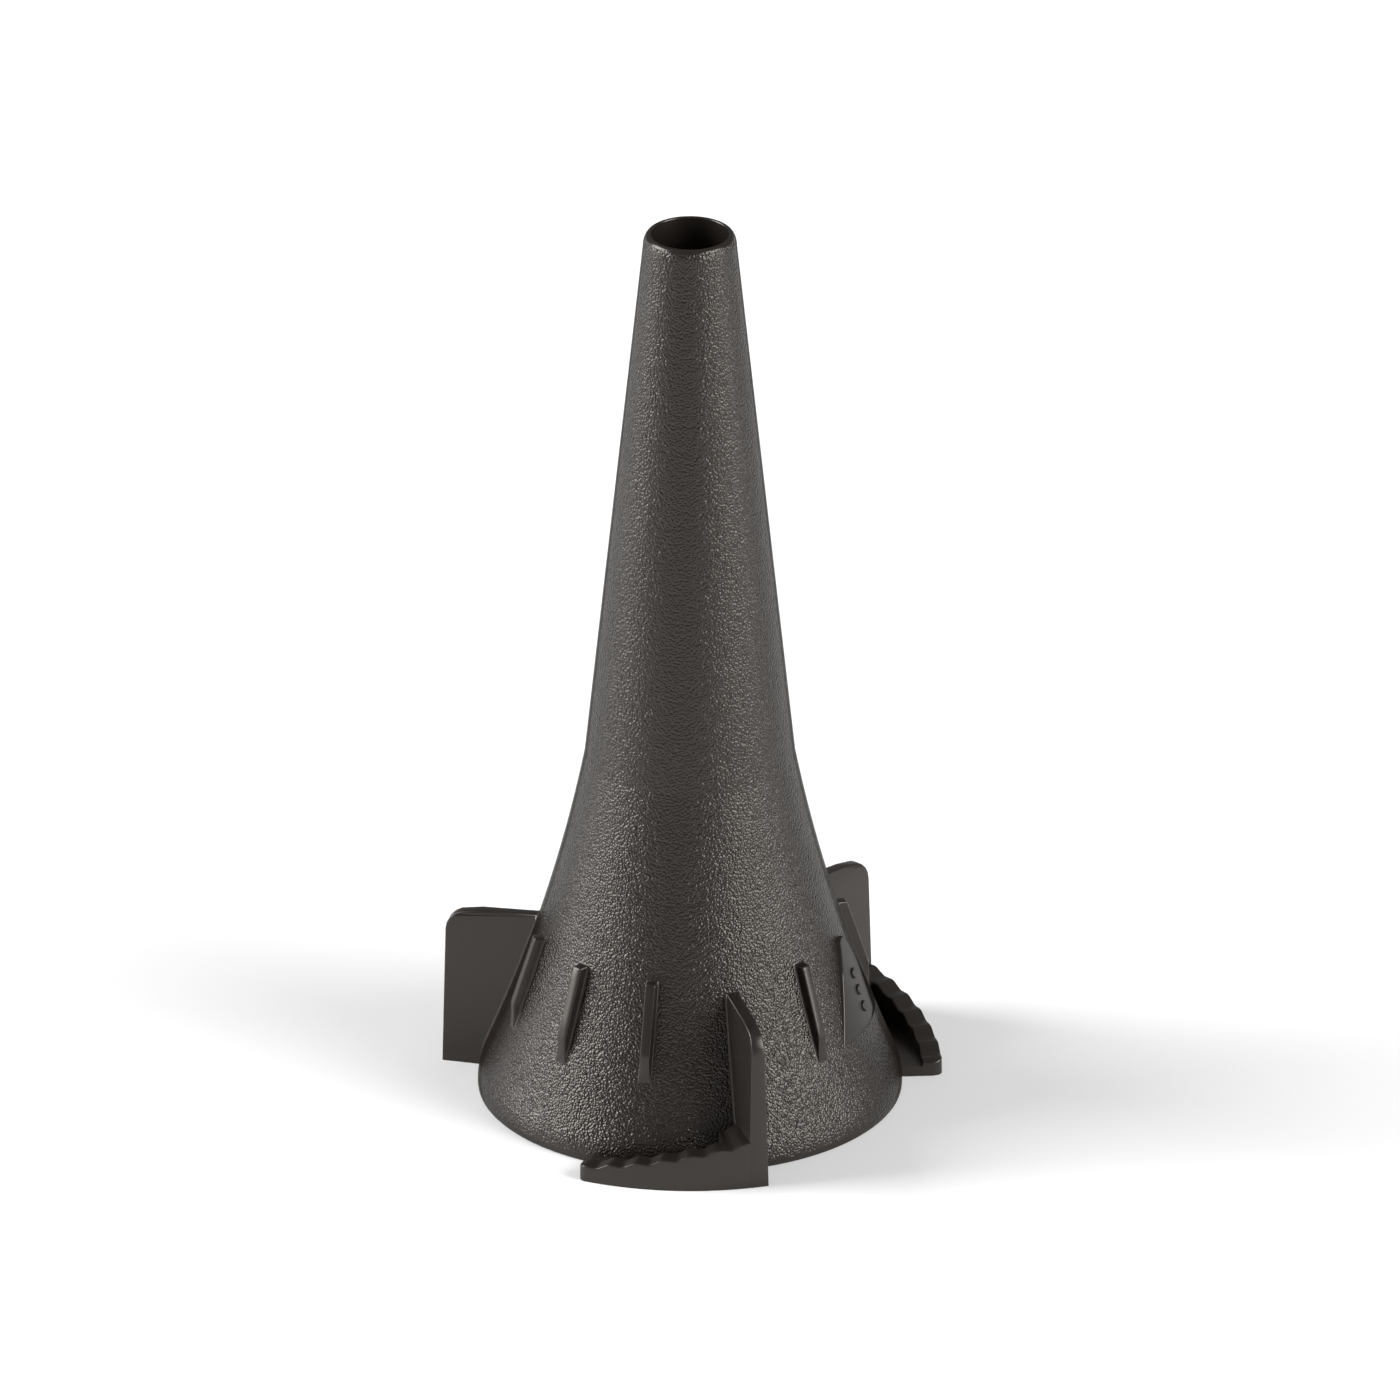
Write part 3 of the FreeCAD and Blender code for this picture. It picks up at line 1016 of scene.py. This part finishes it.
@dataclass
class CamRamps:
    """Three toothed ramps that pull the speculum tight as it is turned."""

    wall: TaperedWall
    satin: bpy.types.Material
    count: int = 3
    sweep: float = 42.3  # degrees from the fin to the low end
    steps: int = 94
    start_z: float = 1.84  # height of the saw-tooth's crest line where it meets the fin
    fall: float = 0.030  # millimetres of height lost for each degree
    wall_width: float = 0.77
    floor_z: float = 0.38  # height of the channel's floor
    above_floor: float = 0.05  # an edge that is higher than this over the floor is on the teeth
    outer_band: float = 0.4  # an edge that is further than this from the inner one is outside
    solid_sweep: float = 8.0  # full-width stretch beside the fin
    end_round: float = 0.35
    tooth_pitch: float = 6.25  # degrees
    first_crest: float = -2.85  # degrees from the fin, inside it
    tooth_fall: float = 2.9  # degrees of the steep side
    tooth_depth: float = 0.235
    softness: float = 0.55  # degrees either side of a point over which the teeth are rounded
    draft: float = 1.0  # degrees that its outside leans in
    edge_round: float = 0.05
    inner_round: float = 0.09
    sharp: float = 55.0  # an edge that turns more than this is rounded
    buried: float = 0.25  # how far it reaches into the wall
    inside: float = 0.005  # keeps this finer round within the frame's coarser one

    def sharp_height(self, offset: float) -> float:
        """Gives the height of the sharp saw-tooth line.

        Args:
            offset: Degrees from the fin.

        Returns:
            The height there.
        """
        turns, within = divmod(offset - self.first_crest, self.tooth_pitch)
        crest = self.first_crest + turns * self.tooth_pitch
        crest_z = self.start_z - crest * self.fall
        valley_z = crest_z - self.tooth_depth
        next_z = crest_z - self.tooth_pitch * self.fall
        if within < self.tooth_fall:
            return crest_z + (valley_z - crest_z) * within / self.tooth_fall
        share = (within - self.tooth_fall) / (self.tooth_pitch - self.tooth_fall)
        return valley_z + (next_z - valley_z) * share

    def height(self, offset: float) -> float:
        """Height of the rounded teeth: the sharp line, averaged over a short stretch."""
        spread = [offset + self.softness * share for share in (-1.0, -0.5, 0.0, 0.5, 1.0)]
        return sum(self.sharp_height(place) for place in spread) / len(spread)

    def model(self) -> bpy.types.Object:
        """Models one ramp, for a fin at +X: a section drawn round, each ring set to its height.

        Returns:
            The ramp, in millimetres.
        """
        reach = reach_of("cam_ramp_1")
        outer, inner = reach.outer - self.inside, reach.outer - self.wall_width
        deep = self.wall.outer_r(0) - self.buried
        bpy.ops.mesh.primitive_plane_add(
            size=1,
            location=((outer + inner) / 2, 0, self.start_z / 2),
            rotation=(math.pi / 2, 0, 0),
        )
        bpy.context.object.scale = (outer - inner, self.start_z, 1)
        ramp = settle(bpy.context.object, "ramp")
        with editing(ramp):
            bpy.ops.mesh.select_all(action="SELECT")
            bpy.ops.mesh.bisect(plane_co=(0, 0, self.floor_z), plane_no=(0, 0, 1), threshold=WELD)
            pick_edges(
                ramp,
                lambda edge: all(
                    abs(v.co.x - inner) < NEAR and v.co.z < self.floor_z + NEAR for v in edge.verts
                ),
            )
            bpy.ops.mesh.extrude_edges_move(TRANSFORM_OT_translate={"value": (deep - inner, 0, 0)})
            bpy.ops.mesh.select_all(action="SELECT")
            bpy.ops.mesh.spin(
                steps=self.steps, angle=math.radians(self.sweep), center=(0, 0, 0), axis=(0, 0, 1)
            )
            self._shape_rings(ramp, inner, outer)
            close_up(ramp)
            self._soften(ramp, inner)
            close_up(ramp)
        return ramp

    def _shape_rings(self, ramp: bpy.types.Object, inner: float, outer: float) -> None:
        """Sets each ring of the drawn section to its own height, and rounds the low end in plan.

        Args:
            ramp: The ramp, open in edit mode.
            inner: Radius of the toothed wall's inside.
            outer: Radius of its outside at the base.
        """
        slope = math.tan(math.radians(self.draft))
        mesh = bmesh.from_edit_mesh(ramp.data)
        for point in mesh.verts:
            offset = -math.degrees(math.atan2(point.co.y, point.co.x))
            radius = math.hypot(point.co.x, point.co.y)
            top_z = self.height(offset)
            beside_fin = offset < self.solid_sweep
            on_corner = abs(radius - inner) < NEAR and abs(point.co.z - self.floor_z) < NEAR
            on_back = radius < inner - NEAR and point.co.z > NEAR
            if point.co.z > self.floor_z + NEAR or (beside_fin and on_back):
                point.co.z = top_z
            elif beside_fin and on_corner:
                # Where there is no channel, its corner lies on the top face.
                point.co.z = top_z
                radius = (inner + self.wall.outer_r(top_z)) / 2
            if radius > outer - NEAR:
                to_end = math.radians(self.sweep - offset) * outer
                short = max(0.0, self.end_round - to_end)
                radius -= self.end_round - math.sqrt(max(0.0, self.end_round ** 2 - short ** 2))
                radius -= point.co.z * slope
            flat = Vector((point.co.x, point.co.y)).normalized() * radius
            point.co.x, point.co.y = flat
        bmesh.update_edit_mesh(ramp.data)

    def _soften(self, ramp: bpy.types.Object, inner: float) -> None:
        """Rounds the long edges of the toothed wall: a broad round inside, a small one outside.

        Args:
            ramp: The ramp, open in edit mode.
            inner: Radius of the toothed wall's inside.
        """
        for low, high, width in (
            (inner - NEAR, inner + NEAR, self.inner_round),
            (inner + self.outer_band, math.inf, self.edge_round),
        ):

            def is_long_edge(edge: bmesh.types.BMEdge) -> bool:
                """Whether an edge runs along the top of this side of the toothed wall."""
                reaches = [math.hypot(v.co.x, v.co.y) for v in edge.verts]
                in_band = low < min(reaches) and max(reaches) < high
                on_top = max(v.co.z for v in edge.verts) > self.floor_z + self.above_floor
                return in_band and on_top and turns_sharply(edge, self.sharp)

            pick_edges(ramp, is_long_edge)
            bpy.ops.mesh.bevel(
                offset=width, offset_type="OFFSET", segments=4, affect="EDGES", clamp_overlap=False
            )

    def build(self) -> list[bpy.types.Object]:
        """Builds and dresses all the ramps, each turned with its fin."""
        return set_round(self.model(), "cam_ramp", self.count, self.satin, beside="locking_fin")


# --- Size pad ---


@dataclass
class SizePad:
    """The smooth arched pad, and the three plain dots that stand where a size mark would."""

    wall: TaperedWall
    polished: bpy.types.Material
    shoulder_z: float = 6.13  # where the straight sides turn into the arch
    shoulder_half: float = 0.37
    foot_half: float = 2.22
    top_proud: float = 0.15
    foot_proud: float = 0.03
    back: float = 0.25  # thickness behind the smooth face
    rows: int = 26
    columns: int = 16
    least_half: float = 0.02  # keeps the arch's top row from closing to a point
    edge_depth: float = 0.02  # how far below the smooth face its rim is looked for
    edge_round: float = 0.04
    sharp: float = 50.0  # an edge that turns more than this is rounded
    dot_count: int = 3
    dot_r: float = 0.20
    dot_facets: int = 40
    dot_proud: float = 0.07
    dot_buried: float = 0.1
    dot_round: float = 0.05
    dot_spacing: float = 0.62
    lowest_dot_z: float = 3.75

    def __post_init__(self) -> None:
        """Takes the pad's place from the frame."""
        reach = reach_of("size_pad")
        self.low, self.high, self.angle = reach.low, reach.high, reach.angle
        self.foot_r = self.wall.outer_r(self.low) + self.foot_proud
        self.apex_r = self.wall.outer_r(self.high) + self.top_proud

    def face_r(self, z: float) -> float:
        """Radius of the pad's smooth face, a plain cone, at a height."""
        share = (z - self.low) / (self.high - self.low)
        return self.foot_r + (self.apex_r - self.foot_r) * share

    def half_width(self, z: float) -> float:
        """Gives half the pad's width: straight sides that meet in a small arch.

        Args:
            z: The height.

        Returns:
            Half the width there.
        """
        if z <= self.shoulder_z:
            share = (z - self.low) / (self.shoulder_z - self.low)
            return self.foot_half + (self.shoulder_half - self.foot_half) * share
        rise, half = self.high - self.shoulder_z, self.shoulder_half
        arch_r = (half ** 2 + rise ** 2) / (2 * rise)
        return math.sqrt(max(0.0, arch_r ** 2 - (z - self.high + arch_r) ** 2))

    def model_pad(self) -> bpy.types.Object:
        """Models the pad on the +X side.

        Returns:
            The pad, in millimetres.
        """
        bpy.ops.mesh.primitive_grid_add(
            x_subdivisions=self.rows,
            y_subdivisions=self.columns,
            size=2,
            location=(0, 0, (self.low + self.high) / 2),
            rotation=(0, -math.pi / 2, 0),
        )
        bpy.context.object.scale = ((self.high - self.low) / 2, 1, 1)
        pad = settle(bpy.context.object, "size_pad_face")
        with editing(pad):
            mesh = bmesh.from_edit_mesh(pad.data)
            for point in mesh.verts:
                # Rows crowd towards the top, where the arch curves most.
                share = (point.co.z - self.low) / (self.high - self.low)
                z = self.low + (self.high - self.low) * (1 - (1 - share) ** 2)
                y = point.co.y * max(self.half_width(z), self.least_half)
                point.co = Vector((math.sqrt(self.face_r(z) ** 2 - y ** 2), y, z))
            bmesh.update_edit_mesh(pad.data)
            bpy.ops.mesh.select_all(action="SELECT")
            bpy.ops.mesh.normals_make_consistent(inside=False)
            pick_faces(pad, lambda face: True)
            bpy.ops.mesh.extrude_region_move(
                TRANSFORM_OT_translate={"value": (-self.back - self.top_proud, 0, 0)}
            )
            close_up(pad)

            def is_rim(edge: bmesh.types.BMEdge) -> bool:
                """Whether an edge is on the border of the smooth face."""
                points = [v.co for v in edge.verts]
                return turns_sharply(edge, self.sharp) and all(
                    math.hypot(co.x, co.y) > self.face_r(co.z) - self.edge_depth for co in points
                )

            pick_edges(pad, is_rim)
            bpy.ops.mesh.bevel(
                offset=self.edge_round, offset_type="OFFSET", segments=2, affect="EDGES"
            )
            close_up(pad)
        return pad

    def model_dots(self) -> bpy.types.Object:
        """Models the raised dots on the +X side.

        Returns:
            The dots, in millimetres, as one piece.
        """
        lean = math.atan2(self.foot_r - self.apex_r, self.high - self.low)
        outward = Vector((math.cos(lean), 0, math.sin(lean)))
        dots = []
        for index in range(self.dot_count):
            z = self.lowest_dot_z + index * self.dot_spacing
            surface = Vector((self.face_r(z), 0, z))
            bpy.ops.mesh.primitive_cylinder_add(
                vertices=self.dot_facets,
                radius=self.dot_r,
                depth=self.dot_buried + self.dot_proud,
                location=surface + outward * (self.dot_proud - self.dot_buried) / 2,
                rotation=(0, math.pi / 2 - lean, 0),
            )
            dot = settle(bpy.context.object, f"dot_{index}")
            with editing(dot):
                pick_edges(
                    dot,
                    lambda edge: turns_sharply(edge, self.sharp)
                    and all((v.co - surface).dot(outward) > 0 for v in edge.verts),
                )
                bpy.ops.mesh.bevel(
                    offset=self.dot_round, offset_type="OFFSET", segments=4, affect="EDGES"
                )
            dots.append(dot)
        bpy.ops.object.select_all(action="DESELECT")
        for dot in dots:
            dot.select_set(True)
        bpy.context.view_layer.objects.active = dots[0]
        bpy.ops.object.join()
        dots[0].name = "size_dots"
        return dots[0]

    def build(self) -> list[bpy.types.Object]:
        """Builds and dresses the pad and its dots.

        Returns:
            The two pieces.
        """
        pieces = [self.model_pad(), self.model_dots()]
        for piece, node in zip(pieces, ("size_pad", "size_pips")):
            finish_piece(piece, self.angle)
            piece.data.materials.append(self.polished)
            stand_in(piece, node, "polished_pad")
        return pieces


# --- Studio ---


@dataclass(frozen=True)
class Softbox:
    """One soft area light that faces the part."""

    name: str
    place: tuple[float, float, float]
    width: float
    height: float
    radiance: float
    colour: str = "#ffffff"


@dataclass
class Studio:
    """A plain pale floor, soft lights and the camera. Places are in metres."""

    aim: tuple[float, float, float] = (0.000355, 0.0, 0.015)
    elevation: float = 25.0
    distance: float = 2.0
    view_width: float = 0.04965  # what the camera sees across, at the distance of the part
    sensor: float = 36.0  # millimetres
    nearest: float = 0.01
    farthest: float = 20.0
    floor_size: float = 6.0
    floor_colour: str = "#f2f2f2"
    floor_roughness: float = 0.9
    floor_sheen: float = 0.1
    sky_colour: str = "#ffffff"
    sky_strength: float = 0.27
    softboxes: tuple[Softbox, ...] = (
        Softbox("left_softbox", (-0.43, 0.02, 0.21), 0.28, 0.38, 11.2),
        Softbox("right_softbox", (0.39, -0.19, 0.21), 0.28, 0.36, 9.8),
    )

    def build(self) -> None:
        """Builds the floor, the lights, the sky and the camera."""
        self._floor()
        self._sky()
        for box in self.softboxes:
            self._light(box)
        self._camera()

    def _floor(self) -> None:
        """Lays the floor at the height that the part stands on."""
        bpy.ops.mesh.primitive_plane_add(size=self.floor_size, location=(0, 0, 0))
        floor = bpy.context.object
        floor.name = "studio_floor"
        matte = bpy.data.materials.new("pale_matte_floor")
        matte.use_nodes = True
        shader = matte.node_tree.nodes["Principled BSDF"]
        shader.inputs["Base Color"].default_value = linear(self.floor_colour)
        shader.inputs["Roughness"].default_value = self.floor_roughness
        shader.inputs["Specular IOR Level"].default_value = self.floor_sheen
        floor.data.materials.append(matte)

    def _sky(self) -> None:
        """Fills the room with even pale light."""
        world = bpy.data.worlds.new("pale_room")
        world.use_nodes = True
        background = world.node_tree.nodes["Background"]
        background.inputs["Color"].default_value = linear(self.sky_colour)
        background.inputs["Strength"].default_value = self.sky_strength
        bpy.context.scene.world = world

    def _light(self, box: Softbox) -> None:
        """Hangs one softbox, turned to face the part.

        Args:
            box: The softbox to hang.
        """
        lamp = bpy.data.lights.new(box.name, "AREA")
        lamp.shape = "RECTANGLE"
        lamp.size, lamp.size_y = box.width, box.height
        lamp.energy = box.radiance * math.pi * box.width * box.height
        lamp.color = linear(box.colour)[:3]
        holder = bpy.data.objects.new(box.name, lamp)
        holder.location = box.place
        towards = Vector(self.aim) - Vector(box.place)
        holder.rotation_euler = towards.to_track_quat("-Z", "Y").to_euler()
        bpy.context.scene.collection.objects.link(holder)

    def _camera(self) -> None:
        """Sets up the long-lens camera that looks down on the part from the front."""
        lens = bpy.data.cameras.new("studio_camera")
        lens.sensor_width = self.sensor
        lens.lens = self.sensor * self.distance / self.view_width
        lens.clip_start, lens.clip_end = self.nearest, self.farthest
        camera = bpy.data.objects.new("studio_camera", lens)
        a = math.radians(self.elevation)
        back = Vector((0, -math.cos(a), math.sin(a)))
        camera.location = Vector(self.aim) + back * self.distance
        camera.rotation_euler = (-back).to_track_quat("-Z", "Y").to_euler()
        bpy.context.scene.collection.objects.link(camera)
        bpy.context.scene.camera = camera


# --- The whole ---


def report(pieces: Sequence[bpy.types.Object]) -> None:
    """Logs each finished piece.

    Args:
        pieces: The pieces of one sub-assembly.
    """
    for piece in pieces:
        log.info("%s: %d faces", piece.name, len(piece.data.polygons))


def main() -> None:
    """Builds every sub-assembly and the studio."""
    logging.basicConfig(level=logging.INFO, format="%(name)s %(message)s")
    bpy.context.scene.view_settings.view_transform = "Standard"
    top = reach_of("tip_rim").high
    grained, satin, polished = (finish.material(top) for finish in (GRAINED, SATIN, POLISHED))
    wall = TaperedWall(grained, satin)
    report(wall.build())
    report(LockingFins(wall, satin).build())
    report(CamRamps(wall, satin).build())
    report(GripRibs(wall, satin).build())
    report(SizePad(wall, polished).build())
    Studio().build()


if __name__ == "__main__":
    main()
